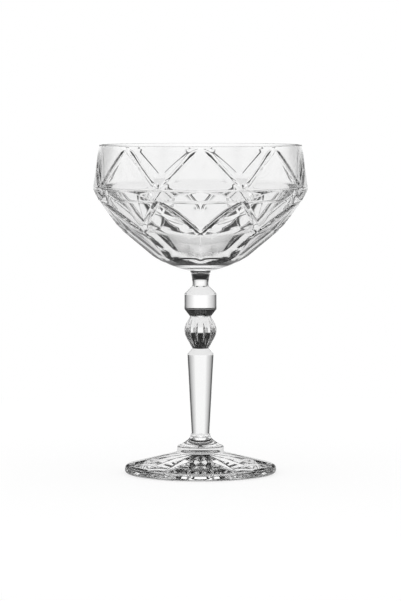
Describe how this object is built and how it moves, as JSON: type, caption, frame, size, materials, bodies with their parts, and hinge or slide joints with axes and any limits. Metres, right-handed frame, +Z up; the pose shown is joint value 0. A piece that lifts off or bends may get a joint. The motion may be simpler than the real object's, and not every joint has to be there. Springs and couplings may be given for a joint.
{
  "type": "coupe glass",
  "caption": "Stemmed coupe glass with a facet-cut bowl, a faceted knopped stem and a round foot, for cocktails and sparkling wine.",
  "frame": {"origin": "on the table plane under the axis of the glass", "axes": "+Z up along the axis of the stem; -Y is the side that the picture shows, with a flat facet of each eight-sided piece facing it"},
  "size_m": [0.1142, 0.1142, 0.175],
  "materials": {
    "clear_glass": "fire-polished clear glass"
  },
  "bodies": {
    "root": {"bowl": "clear_glass", "neck": "clear_glass", "upper_knop": "clear_glass", "lower_knop": "clear_glass", "stem": "clear_glass", "foot": "clear_glass"}
  },
  "joints": []
}
